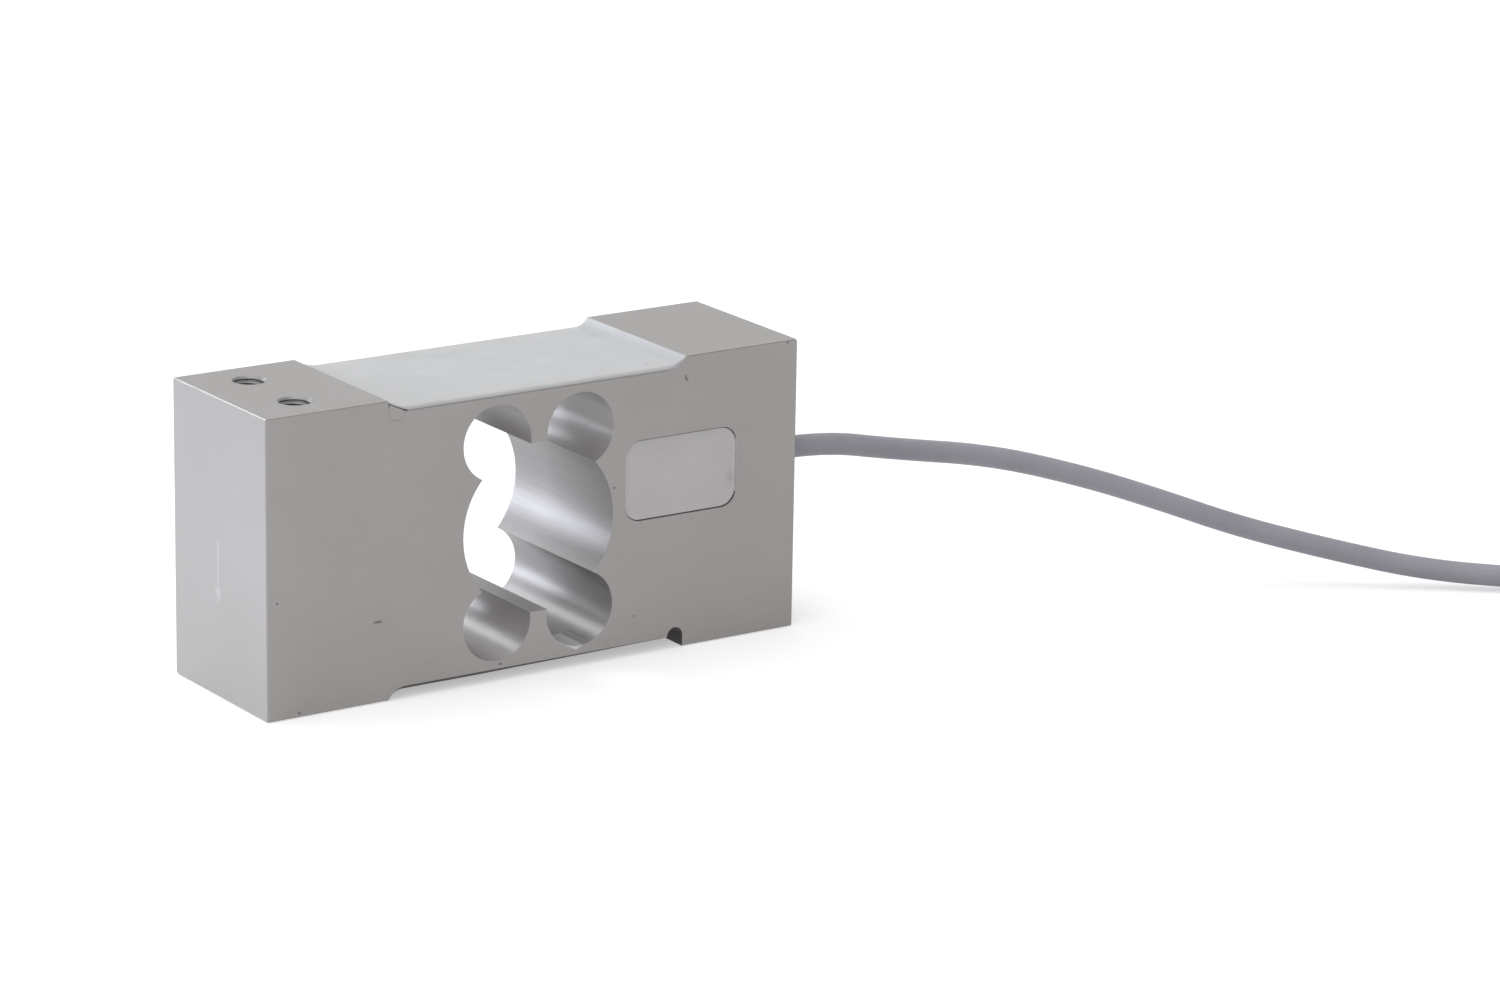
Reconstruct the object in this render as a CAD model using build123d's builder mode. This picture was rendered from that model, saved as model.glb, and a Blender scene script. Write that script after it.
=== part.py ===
"""Single point load cell: a machined aluminium beam with its gauges, wiring, sealing compound and cable.

X runs from the load end to the cable end, Z is up, and the wiring pocket is in the front face, at -Y.
The origin is the centre of the beam's base. Sizes are in millimetres.
"""
from build123d import *
from math import atan2, cos, degrees, pi, radians, sin, tan
import os

os.makedirs("parts", exist_ok=True)

# Beam
beam_length = 150.0
beam_width = 45.0
beam_height = 74.0
edge_break = 0.25
bruise_size = 0.9

# Recesses for the gauges, one above and one below, turned half a turn from each other
pad_share = 0.22
pad_length = pad_share * beam_length
run_out_pad_length = pad_length - 0.1
recess_depth = 2.95
end_curve_length = 4.9
slot_radius = 2.25

# Through cut-out: a central bore and four lobes that leave the thin webs
bore_radius = 21.25
lobe_radius = 9.5
web_thickness = 2.05

# Wiring pocket in the front face
pocket_wall = 3.35
pocket_z = 44.3
pocket_length = 32.7
pocket_height = 20.5
pocket_depth = 15.0
pocket_corner = 4.5
potting_setback = 0.5

# Tapped M8 holes, two on top of the load end and two under the cable end
thread_radius = 4.0
mouth_radius = 4.35
hole_depth = 22.0
drill_tip_angle = 118.0
hole_from_end = 14.5
hole_spacing = 22.0

# Wire passage, drilled from recess to recess through the pocket
passage_from_bore = 7.75
passage_radius = 1.5

# Sealing compound in the recesses
sealant_thickness = 1.0
meniscus_gap = 0.1
load_meniscus_length = 6.2
cable_meniscus_length = 7.4
filler_height = 2.2
underseal_thick = 1.5
underseal_thin = 0.6
underseal_meniscus_length = 5.2
underseal_end_length = 2.4
underseal_end_gap = 1.2
mound_margin = 2.0
mound_corner = 3.0
mound_taper = 60.0
mound_height = 1.0

# Strain gauges and their terminals
gauge_length = 9.6
gauge_width = 6.4
backing_thickness = 0.1
foil_thickness = 0.05
grid_lines = 8
grid_pitch = 0.5
grid_line_width = 0.26
grid_length = 4.6
tab_length = 1.3
tab_width = 1.7
tab_y = 1.25
terminal_from_bore = 1.75
terminal_length = 3.4
terminal_width = 9.4
terminal_thickness = 0.3
terminal_pitch = 3.0
terminal_pad_size = 1.8
jumper_radius = 0.15
jumper_side_y = 4.2
lead_radius = 0.25
lead_spread = 0.8
lead_start = 0.3
wire_lift = 0.05
wire_bend_radius = 0.8

# Board in the pocket
board_length = 28.0
board_height = 15.6
board_thickness = 1.2
adhesive_thickness = 0.5
adhesive_margin = 2.0
joint_radius = 0.95
joint_top_radius = 0.7
joint_height = 0.6
cable_pad_inset = 5.5
cable_pad_pitch = 2.9
lead_pad_pitch = 2.2
temperature_resistor_radius = 1.1
temperature_resistor_length = 5.2
trim_resistor_length = 3.2
trim_resistor_width = 1.6
trim_resistor_height = 0.6
temperature_resistor_lift = 0.1
temperature_resistor_x = 36.0
trim_resistor_x = 43.0
resistor_pitch = 4.2

# Cable
cable_radius = 2.8
cable_inset = 8.0
cable_z = 44.0
cable_bore_radius = 3.3
cable_reach_in = 3.0
bead_radius = 4.1
bead_length = 1.0
core_radius = 0.55
drain_radius = 0.4
core_spread = 1.0
core_straight = 1.5
core_bend_radius = 1.0

# Coil, tied, just past the visible stretch
coil_x = 316.4
coil_y = -94.1
coil_mean_radius = 33.4
coil_columns = 4
coil_layers = 2
coil_pitch = 5.75
coil_entry_angle = 228.0
coil_entry_run = 22.0
section_corner = 2.6
tail_climb_start = 120.0
tail_climb_end = 180.0
tail_end = 250.0
tail_steps = 5
tail_drift = 4.5
tie_gap = 0.1
tie_thickness = 0.4
tie_width = 3.6
tie_angles = (30.0, 100.0)
tie_twist_length = 10.0
tie_twist_radius = 1.1

# Stripped end
sleeve_radius = 3.0
sleeve_length = 12.0
lead_end_pitch = 1.3
lead_end_spread = 0.6
lead_end_fan = 2.4
lead_end_angles = (14.0, 32.0, 48.0)
lead_end_stagger = (3.0, -2.0, -6.0, 1.0, -3.0)
lead_end_straight = 4.0
tip_radius = 0.35
tip_length = 5.0

# Places worked out from the sizes above
mid_height = beam_height / 2
top_floor_z = beam_height - recess_depth
under_floor_z = recess_depth
lobe_x = bore_radius - lobe_radius
lobe_z = mid_height - recess_depth - web_thickness - lobe_radius
recess_start = pad_length - beam_length / 2
recess_end = beam_length / 2 - run_out_pad_length
curve_start = (recess_end - end_curve_length, top_floor_z)
front_y = -beam_width / 2
cable_y = front_y + cable_inset
cable_exit_x = beam_length / 2
pocket_x = bore_radius + pocket_wall + pocket_length / 2
passage_x = bore_radius + passage_from_bore
terminal_x = bore_radius + terminal_from_bore
pocket_floor_y = front_y + pocket_depth
pocket_cable_wall = pocket_x + pocket_length / 2
board_back_y = pocket_floor_y - adhesive_thickness
board_front_y = board_back_y - board_thickness
joint_top_y = board_front_y - joint_height
gauge_thickness = backing_thickness + foil_thickness
half_turn = Axis((0, 0, mid_height), (0, 1, 0))


def save(part, name):
    """Label a finished piece and write its STEP file."""
    part.label = name
    export_step(part, f"parts/{name}.step")


def turned_under(part):
    """The same shape on the underside and the other end: half a turn about the beam's cross axis."""
    return part.rotate(half_turn, 180)


def mirrored_under(part):
    """The same piece on the underside, at the same place along the beam."""
    return part.mirror(Plane.XY.offset(mid_height))


def round_wire(points, bends, radius):
    """A round wire along straight runs joined by tangent arcs."""
    with BuildPart() as made:
        with BuildLine() as path:
            FilletPolyline(*points, radius=bends)
        with BuildSketch(Plane(origin=path.line @ 0, z_dir=path.line % 0)):
            Circle(radius)
        sweep()
    return made.part


def straight_wire(start, end, radius):
    """A round wire along one straight run."""
    with BuildPart() as made:
        with BuildLine() as path:
            Line(start, end)
        with BuildSketch(Plane(origin=path.line @ 0, z_dir=path.line % 0)):
            Circle(radius)
        sweep()
    return made.part


# Recess outline, with the end slot on the load side and the cutter's round run-out on the cable side
with BuildSketch(Plane.XZ) as recess:
    with BuildLine():
        Polyline(
            (recess_end, beam_height),
            (recess_start, beam_height),
            (recess_start, top_floor_z),
            curve_start,
        )
        TangentArc(curve_start, (recess_end, beam_height), tangent=(1, 0))
    make_face()
    with Locations((recess_start + slot_radius, top_floor_z)):
        Circle(slot_radius)

# Tapped hole, pointing down from its mouth at the origin
with BuildPart() as tapped_hole:
    with BuildSketch(Plane.XZ):
        with BuildLine():
            Polyline(
                (0, 0),
                (mouth_radius, 0),
                (thread_radius, thread_radius - mouth_radius),
                (thread_radius, -hole_depth),
                (0, -hole_depth - thread_radius / tan(radians(drill_tip_angle / 2))),
                close=True,
            )
        make_face()
    revolve(axis=Axis.Z)

# Beam body
with BuildPart() as beam_body:
    with BuildSketch(Plane.XZ):
        Rectangle(beam_length, beam_height, align=(Align.CENTER, Align.MIN))
    extrude(amount=beam_width / 2, both=True)
    chamfer(beam_body.edges(), edge_break)
    add(extrude(recess.sketch, amount=beam_width / 2, both=True, mode=Mode.PRIVATE), mode=Mode.SUBTRACT)
    add(
        turned_under(extrude(recess.sketch, amount=beam_width / 2, both=True, mode=Mode.PRIVATE)),
        mode=Mode.SUBTRACT,
    )
    with BuildSketch(Plane.XZ):
        with Locations((0, mid_height)):
            Circle(bore_radius)
            with GridLocations(2 * lobe_x, 2 * lobe_z, 2, 2):
                Circle(lobe_radius)
    extrude(amount=beam_width / 2, both=True, mode=Mode.SUBTRACT)
    with BuildSketch(Plane.XZ.offset(beam_width / 2)):
        with Locations((pocket_x, pocket_z)):
            RectangleRounded(pocket_length, pocket_height, pocket_corner)
    extrude(amount=-pocket_depth, mode=Mode.SUBTRACT)
    with BuildSketch(Plane.XY.offset(under_floor_z)):
        with Locations((passage_x, cable_y)):
            Circle(passage_radius)
    extrude(amount=top_floor_z - under_floor_z, mode=Mode.SUBTRACT)
    with BuildSketch(Plane.YZ.offset(pocket_cable_wall)):
        with Locations((cable_y, cable_z)):
            Circle(cable_bore_radius)
    extrude(amount=cable_exit_x - pocket_cable_wall, mode=Mode.SUBTRACT)
    for side in (-1, 1):
        mouth = (hole_from_end - beam_length / 2, side * hole_spacing / 2, beam_height)
        hole = tapped_hole.part.translate(mouth)
        add(hole, mode=Mode.SUBTRACT)
        add(turned_under(hole), mode=Mode.SUBTRACT)
    bruise_corner = Vector(beam_length / 2, front_y, beam_height)
    bruise_normal = Vector(1, -1, 1).normalized()
    bruise_origin = bruise_corner - Vector(bruise_size, 0, 0)
    with BuildSketch(Plane(origin=bruise_origin, z_dir=bruise_normal)):
        Circle(6 * bruise_size)
    extrude(amount=2 * bruise_size, mode=Mode.SUBTRACT)
save(beam_body.part, "beam_body")


def strain_gauge(x):
    """A foil gauge on the top recess's floor: its backing, with the grid and two tabs standing on it."""
    with BuildPart() as made:
        with Locations((x, 0, top_floor_z)):
            Box(gauge_length, gauge_width, backing_thickness, align=(Align.CENTER, Align.CENTER, Align.MIN))
        with BuildSketch(Plane.XY.offset(top_floor_z + backing_thickness)):
            grid_x = x - tab_length
            with Locations((grid_x, 0)):
                with GridLocations(0, grid_pitch, 1, grid_lines):
                    Rectangle(grid_length, grid_line_width)
            for line in range(grid_lines - 1):
                turn_side = 1 if line % 2 else -1
                turn_y = (line - grid_lines / 2 + 1) * grid_pitch
                with Locations((grid_x + turn_side * grid_length / 2, turn_y)):
                    Rectangle(grid_line_width, grid_pitch + grid_line_width)
            with Locations((grid_x + (grid_length + tab_length) / 2 + grid_line_width, 0)):
                with GridLocations(0, 2 * tab_y, 1, 2):
                    Rectangle(tab_length + 2 * grid_line_width, tab_width)
        extrude(amount=foil_thickness)
    return made.part


# Strain gauges, one over each web
for name, x in (("load_side", -lobe_x), ("cable_side", lobe_x)):
    gauge = strain_gauge(x)
    save(gauge, f"gauge_top_{name}")
    save(mirrored_under(gauge), f"gauge_bottom_{name}")

# Terminal strip: a small board with three raised copper pads
terminal_top_z = top_floor_z + terminal_thickness + foil_thickness
terminal_ys = [terminal_pitch * k for k in (-1, 0, 1)]
with BuildPart() as terminal_strip_top:
    with Locations((terminal_x, 0, top_floor_z)):
        on_base = (Align.CENTER, Align.CENTER, Align.MIN)
        Box(terminal_length, terminal_width, terminal_thickness, align=on_base)
    with BuildSketch(Plane.XY.offset(top_floor_z + terminal_thickness)):
        with Locations((terminal_x, 0)):
            with GridLocations(0, terminal_pitch, 1, 3):
                Rectangle(terminal_pad_size, terminal_pad_size)
    extrude(amount=foil_thickness)
save(terminal_strip_top.part, "terminal_strip_top")
terminal_strip_bottom = mirrored_under(terminal_strip_top.part)
save(terminal_strip_bottom, "terminal_strip_bottom")

# Jumper wires from the gauges' tabs to the terminal pads; the far gauge's two run beside the near gauge
tab_offset = grid_length / 2 + grid_line_width
far_tab_x = tab_offset - lobe_x
near_tab_x = tab_offset + lobe_x
tab_wire_z = top_floor_z + gauge_thickness + jumper_radius
pad_wire_z = terminal_top_z + jumper_radius + wire_lift
with BuildPart() as jumper_wires_top:
    for tab_side, pad_y in ((-1, terminal_ys[0] + 2 * jumper_radius), (1, terminal_ys[1])):
        add(
            straight_wire(
                (near_tab_x, tab_side * tab_y, tab_wire_z),
                (terminal_x, pad_y, pad_wire_z),
                jumper_radius,
            )
        )
    for tab_side, pad_y in ((-1, terminal_ys[0] - 2 * jumper_radius), (1, terminal_ys[2])):
        points = [
            (far_tab_x, tab_side * tab_y, tab_wire_z),
            (far_tab_x + jumper_side_y, tab_side * jumper_side_y, tab_wire_z),
            (near_tab_x, tab_side * jumper_side_y, tab_wire_z),
            (terminal_x, pad_y, pad_wire_z),
        ]
        add(round_wire(points, [wire_bend_radius] * 2, jumper_radius))
save(jumper_wires_top.part, "jumper_wires_top")
jumper_wires_bottom = mirrored_under(jumper_wires_top.part)
save(jumper_wires_bottom, "jumper_wires_bottom")


def lead_pad_z(up, row):
    """Height of a gauge lead's pad on the board; up is 1 for the upper gauges and -1 for the lower."""
    return pocket_z + up * (3 - row) * lead_pad_pitch


def lead_wires(up):
    """Three leads from a terminal strip through the wire passage to the board."""
    surface_z = terminal_top_z if up > 0 else 2 * mid_height - terminal_top_z
    run_z = surface_z + up * lead_radius
    with BuildPart() as made:
        for row, pad_y in enumerate(reversed(terminal_ys)):
            lead_x = passage_x + (1 - row) * lead_spread
            points = [
                (terminal_x + lead_start, pad_y, run_z),
                (lead_x, pad_y, run_z),
                (lead_x, cable_y, run_z),
                (lead_x, cable_y, lead_pad_z(up, row)),
                (lead_x, joint_top_y, lead_pad_z(up, row)),
            ]
            add(round_wire(points, [wire_bend_radius] * 3, lead_radius))
    return made.part


lead_wires_top = lead_wires(1)
lead_wires_bottom = lead_wires(-1)
save(lead_wires_top, "lead_wires_top")
save(lead_wires_bottom, "lead_wires_bottom")

# Wiring board on its adhesive pad, against the pocket's floor
with BuildPart() as board_adhesive:
    with BuildSketch(Plane.XZ.offset(-pocket_floor_y)):
        with Locations((pocket_x, pocket_z)):
            Rectangle(board_length - 2 * adhesive_margin, board_height - 2 * adhesive_margin)
    extrude(amount=adhesive_thickness)
save(board_adhesive.part, "board_adhesive")
with BuildPart() as wiring_board:
    with BuildSketch(Plane.XZ.offset(-board_back_y)):
        with Locations((pocket_x, pocket_z)):
            Rectangle(board_length, board_height)
    extrude(amount=board_thickness)
save(wiring_board.part, "wiring_board")

# Two temperature compensation resistors, lying across the board
resistor_axis_y = board_front_y - temperature_resistor_radius - temperature_resistor_lift
with BuildPart() as temperature_resistors:
    with BuildSketch(Plane.YZ.offset(temperature_resistor_x)):
        with Locations((resistor_axis_y, pocket_z)):
            with GridLocations(0, 2 * resistor_pitch, 1, 2):
                Circle(temperature_resistor_radius)
    extrude(amount=temperature_resistor_length / 2, both=True)
save(temperature_resistors.part, "temperature_resistors")

# Three chip resistors that trim zero and span
with BuildPart() as trim_resistors:
    with BuildSketch(Plane.XZ.offset(-board_front_y)):
        with Locations((trim_resistor_x, pocket_z)):
            with GridLocations(0, resistor_pitch, 1, 3):
                Rectangle(trim_resistor_length, trim_resistor_width)
    extrude(amount=trim_resistor_height)
save(trim_resistors.part, "trim_resistors")

# Solder joints, one for each core of the cable, the drain wire and each gauge lead
cable_pad_x = pocket_x + board_length / 2 - cable_pad_inset
cable_pad_zs = [pocket_z + row * cable_pad_pitch for row in (2, 1, 0, -1, -2)]
joint_places = [(cable_pad_x, z) for z in cable_pad_zs]
for up in (1, -1):
    joint_places += [(passage_x + (1 - row) * lead_spread, lead_pad_z(up, row)) for row in range(3)]
joint_taper = degrees(atan2(joint_radius - joint_top_radius, joint_height))
with BuildPart() as board_solder_joints:
    with BuildSketch(Plane.XZ.offset(-board_front_y)):
        with Locations(*joint_places):
            Circle(joint_radius)
    extrude(amount=joint_height, taper=joint_taper)
save(board_solder_joints.part, "board_solder_joints")

# The cable's end inside the beam, from its bore into the pocket
inner_end_x = pocket_cable_wall - cable_reach_in
with BuildPart() as cable_inner_end:
    with BuildSketch(Plane.YZ.offset(inner_end_x)):
        with Locations((cable_y, cable_z)):
            Circle(cable_radius)
    extrude(amount=cable_exit_x - inner_end_x)
save(cable_inner_end.part, "cable_inner_end")


def pocket_core(offset_y, offset_z, pad_z, radius):
    """One core from the cable's inner end to its pad on the board."""
    start_y = cable_y + offset_y
    start_z = cable_z + offset_z
    points = [
        (inner_end_x, start_y, start_z),
        (inner_end_x - core_straight, start_y, start_z),
        (cable_pad_x, start_y, pad_z),
        (cable_pad_x, joint_top_y, pad_z),
    ]
    return round_wire(points, [core_bend_radius] * 2, radius)


# The four cores and the screen's drain wire, each to its own pad
core_layout = {
    "core_red": (-core_spread, core_spread, core_radius),
    "core_black": (core_spread, core_spread, core_radius),
    "shield_drain": (0, 0, drain_radius),
    "core_green": (core_spread, -core_spread, core_radius),
    "core_white": (-core_spread, -core_spread, core_radius),
}
pocket_cores = []
for (name, (offset_y, offset_z, radius)), pad_z in zip(core_layout.items(), cable_pad_zs):
    core = pocket_core(offset_y, offset_z, pad_z, radius)
    pocket_cores.append(core)
    save(core, name)

# Sealing compound round the cable in its bore, with a small bead where it comes out
with BuildPart() as cable_seal:
    with BuildSketch(Plane.XY.offset(cable_z)):
        with BuildLine():
            inner_y = cable_y + cable_radius
            Polyline(
                (cable_exit_x + bead_length, inner_y),
                (pocket_cable_wall, inner_y),
                (pocket_cable_wall, cable_y + cable_bore_radius),
                (cable_exit_x, cable_y + cable_bore_radius),
                (cable_exit_x, cable_y + bead_radius),
            )
            ThreePointArc(
                (cable_exit_x, cable_y + bead_radius),
                (cable_exit_x + bead_length * 0.35, inner_y + (bead_radius - cable_radius) * 0.35),
                (cable_exit_x + bead_length, inner_y),
            )
        make_face()
    revolve(axis=Axis((0, cable_y, cable_z), (1, 0, 0)))
save(cable_seal.part, "cable_seal")

# Potting that fills the pocket and the wire passage round everything in them
with BuildPart() as pocket_potting:
    with BuildSketch(Plane.XZ.offset(-pocket_floor_y)):
        with Locations((pocket_x, pocket_z)):
            RectangleRounded(pocket_length, pocket_height, pocket_corner)
    extrude(amount=pocket_depth - potting_setback)
    with BuildSketch(Plane.XY.offset(under_floor_z)):
        with Locations((passage_x, cable_y)):
            Circle(passage_radius)
    extrude(amount=top_floor_z - under_floor_z)
    for piece in (
        board_adhesive,
        wiring_board,
        temperature_resistors,
        trim_resistors,
        board_solder_joints,
        cable_inner_end,
    ):
        add(piece.part, mode=Mode.SUBTRACT)
    for wire in pocket_cores + [lead_wires_top, lead_wires_bottom]:
        add(wire, mode=Mode.SUBTRACT)
save(pocket_potting.part, "pocket_potting")

# Filler in the top recess's end slot, sloping from the pad down to the recess's floor
with BuildPart() as groove_filler:
    with BuildSketch(Plane.XZ):
        with BuildLine():
            slot_far_x = recess_start + 2 * slot_radius
            Polyline(
                (recess_start, top_floor_z),
                (recess_start, top_floor_z + filler_height),
                (slot_far_x, top_floor_z),
            )
            ThreePointArc(
                (slot_far_x, top_floor_z),
                (recess_start + slot_radius, top_floor_z - slot_radius),
                (recess_start, top_floor_z),
            )
        make_face()
    extrude(amount=beam_width / 2, both=True)
save(groove_filler.part, "groove_filler")

# What both layers of sealant flow round: the gauges, terminals and wires on the recess's floor
with BuildPart() as gauge_envelopes_top:
    with Locations((-lobe_x, 0, top_floor_z), (lobe_x, 0, top_floor_z)):
        Box(gauge_length, gauge_width, gauge_thickness, align=(Align.CENTER, Align.CENTER, Align.MIN))
gauge_envelopes_bottom = mirrored_under(gauge_envelopes_top.part)

# White sealant on top, with a meniscus up to each pad
sealant_top_z = top_floor_z + sealant_thickness
load_flat_x = recess_start + load_meniscus_length
cable_flat_x = recess_end - cable_meniscus_length
with BuildPart() as top_sealant:
    with BuildSketch(Plane.XZ):
        with BuildLine():
            load_tip = (recess_start, beam_height - meniscus_gap)
            cable_tip = (recess_end, beam_height)
            Polyline(
                load_tip,
                (recess_start, top_floor_z + filler_height),
                (slot_far_x, top_floor_z),
                (recess_end, top_floor_z),
                cable_tip,
            )
            TangentArc((cable_flat_x, sealant_top_z), cable_tip, tangent=(1, 0))
            Line((cable_flat_x, sealant_top_z), (load_flat_x, sealant_top_z))
            TangentArc((load_flat_x, sealant_top_z), load_tip, tangent=(-1, 0))
        make_face()
    extrude(amount=beam_width / 2, both=True)
    add(beam_body.part, mode=Mode.SUBTRACT)
    for piece in (gauge_envelopes_top.part, terminal_strip_top.part, jumper_wires_top.part, lead_wires_top):
        add(piece, mode=Mode.SUBTRACT)
save(top_sealant.part, "top_sealant")

# Sealant under the beam, stopping short of the open slot, with a low mound over the terminals
mound_start = terminal_x - terminal_length / 2 - mound_margin
mound_end = passage_x + lead_spread + mound_margin
mound_near = mound_margin - cable_y
mound_far = mound_margin + terminal_width / 2
underseal_start = -recess_end
underseal_end = -recess_start - 2 * slot_radius - underseal_end_gap
with BuildPart() as bottom_sealant:
    with BuildSketch(Plane.XZ):
        with BuildLine():
            thick_point = (underseal_start + underseal_meniscus_length, under_floor_z - underseal_thick)
            thin_point = (underseal_end - underseal_end_length, under_floor_z - underseal_thin)
            Polyline(
                (underseal_start, meniscus_gap),
                (underseal_start, under_floor_z),
                (underseal_end, under_floor_z),
                thin_point,
                thick_point,
            )
            TangentArc(thick_point, (underseal_start, meniscus_gap), tangent=(-1, 0))
        make_face()
    extrude(amount=beam_width / 2, both=True)
    with BuildSketch(Plane(origin=(0, 0, under_floor_z), z_dir=(0, 0, -1))):
        with Locations(((mound_start + mound_end) / 2, (mound_near - mound_far) / 2)):
            RectangleRounded(mound_end - mound_start, mound_far + mound_near, mound_corner)
    extrude(amount=mound_height, taper=mound_taper)
    add(beam_body.part, mode=Mode.SUBTRACT)
    for piece in (gauge_envelopes_bottom, terminal_strip_bottom, jumper_wires_bottom, lead_wires_bottom):
        add(piece, mode=Mode.SUBTRACT)
save(bottom_sealant.part, "bottom_sealant")


def coil_point(angle, radius, z):
    """A point round the coil's axis, with its angle in degrees counted from the cable's entry."""
    around = radians(coil_entry_angle + angle)
    return (coil_x + radius * cos(around), coil_y + radius * sin(around), z)


def arc_radii(points):
    """Bend radii as large as each corner's two runs allow."""
    radii = []
    for before, corner, after in zip(points, points[1:], points[2:]):
        run_in = Vector(*corner) - Vector(*before)
        run_out = Vector(*after) - Vector(*corner)
        turn = radians(run_in.get_angle(run_out))
        radii.append(0.45 * min(run_in.length, run_out.length) / tan(turn / 2))
    return radii


# The cable's route along the stretch that isn't coiled, chosen by hand; two more points lead it to the coil
cable_approach_run = 24.0
cable_route = [
    (cable_exit_x, cable_y, cable_z),
    (88.4, cable_y, cable_z),
    (110.1, -15.7, 39.3),
    (136.2, -21.7, 35.4),
    (158.1, -31.2, 29.2),
    (175.8, -40.2, 22.7),
    (194.1, -51.1, 15.3),
    (213.5, -64.0, 9.6),
    (234.4, -78.3, 4.4),
]

# Coil sizes: its turns lie side by side and in layers, and rest on the two ties
coil_base_z = tie_thickness + tie_gap
coil_width = (coil_columns - 1) * coil_pitch + 2 * cable_radius
coil_height = (coil_layers - 1) * coil_pitch + 2 * cable_radius
coil_outer_turn = coil_mean_radius + (coil_columns - 1) * coil_pitch / 2
coil_turn_z = coil_base_z + cable_radius
coil_top_z = coil_base_z + coil_height

# The cable from the beam to its coil: straight runs and large arcs
entry_x, entry_y, entry_z = coil_point(0, coil_outer_turn, coil_turn_z)
entry_heading = radians(coil_entry_angle + 90)
cable_points = cable_route + [
    (entry_x - run * cos(entry_heading), entry_y - run * sin(entry_heading), entry_z)
    for run in (coil_entry_run + cable_approach_run, coil_entry_run)
]
cable_bends = arc_radii(cable_points)
with BuildPart() as cable_run:
    with BuildLine() as cable_line:
        FilletPolyline(*cable_points, radius=cable_bends)
    with BuildSketch(Plane(origin=cable_line.line @ 0, z_dir=cable_line.line % 0)):
        Circle(cable_radius)
    sweep()
save(cable_run.part, "cable_run")
print("cable bend radii", [round(bend, 1) for bend in cable_bends])
cable_length = cable_line.wire().length
print("cable run length", round(cable_length, 2))
swept_volume = pi * cable_radius**2 * cable_length
print("cable run volume", round(cable_run.part.volume, 1), "against", round(swept_volume, 1))

# The cable's last stretch climbs from the outer turn and lies on top of the coil
tail_z = coil_top_z + sleeve_radius
tail_radius = coil_outer_turn - coil_pitch / 2
tail_points = [coil_point(tail_climb_start, coil_outer_turn, coil_turn_z + coil_pitch)]
for step in range(tail_steps):
    along = step / (tail_steps - 1)
    tail_angle = tail_climb_end + along * (tail_end - tail_climb_end)
    tail_points.append(coil_point(tail_angle, tail_radius - along * tail_drift, tail_z))

# Coil: one ring of the outer shape of its turns, with the cable's way in and its last stretch
with BuildPart() as cable_coil:
    with BuildSketch(Plane(origin=(coil_x, coil_y, 0), x_dir=(1, 0, 0), z_dir=(0, -1, 0))):
        with Locations((coil_mean_radius, coil_base_z + coil_height / 2)):
            RectangleRounded(coil_width, coil_height, section_corner)
    revolve(axis=Axis((coil_x, coil_y, 0), (0, 0, 1)))
    add(straight_wire(cable_points[-1], (entry_x, entry_y, entry_z), cable_radius))
    add(round_wire(tail_points, arc_radii(tail_points), cable_radius))
    add(cable_run.part, mode=Mode.SUBTRACT)
save(cable_coil.part, "cable_coil")

# Two twist ties round the coil, each a flat band with its twisted ends lying on top
tie_inner_width = coil_width + 2 * tie_gap
tie_inner_height = coil_height + 2 * tie_gap
with BuildPart() as coil_ties:
    for tie_angle in tie_angles:
        centre = coil_point(tie_angle, coil_mean_radius, coil_base_z + coil_height / 2)
        heading = radians(coil_entry_angle + tie_angle)
        outward = (cos(heading), sin(heading), 0)
        across = Plane(origin=centre, x_dir=outward, z_dir=(sin(heading), -cos(heading), 0))
        with BuildSketch(across):
            RectangleRounded(
                tie_inner_width + 2 * tie_thickness,
                tie_inner_height + 2 * tie_thickness,
                section_corner + tie_gap + tie_thickness,
            )
            RectangleRounded(tie_inner_width, tie_inner_height, section_corner + tie_gap, mode=Mode.SUBTRACT)
        extrude(amount=tie_width / 2, both=True)
        twist_plane = Plane(origin=centre, x_dir=(0, 0, 1), z_dir=(cos(heading), sin(heading), 0))
        with BuildSketch(twist_plane):
            with Locations((tie_inner_height / 2 + tie_twist_radius, 0)):
                Circle(tie_twist_radius)
        extrude(amount=tie_twist_length / 2, both=True)
save(coil_ties.part, "coil_ties")

# Sleeve at the cable's stripped end
tail_stop = Vector(*tail_points[-1])
tail_heading = (tail_stop - Vector(*tail_points[-2])).normalized()
sleeve_stop = tail_stop + tail_heading * sleeve_length
end_sleeve = straight_wire(tail_stop, sleeve_stop, sleeve_radius)
save(end_sleeve, "end_sleeve")

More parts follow.
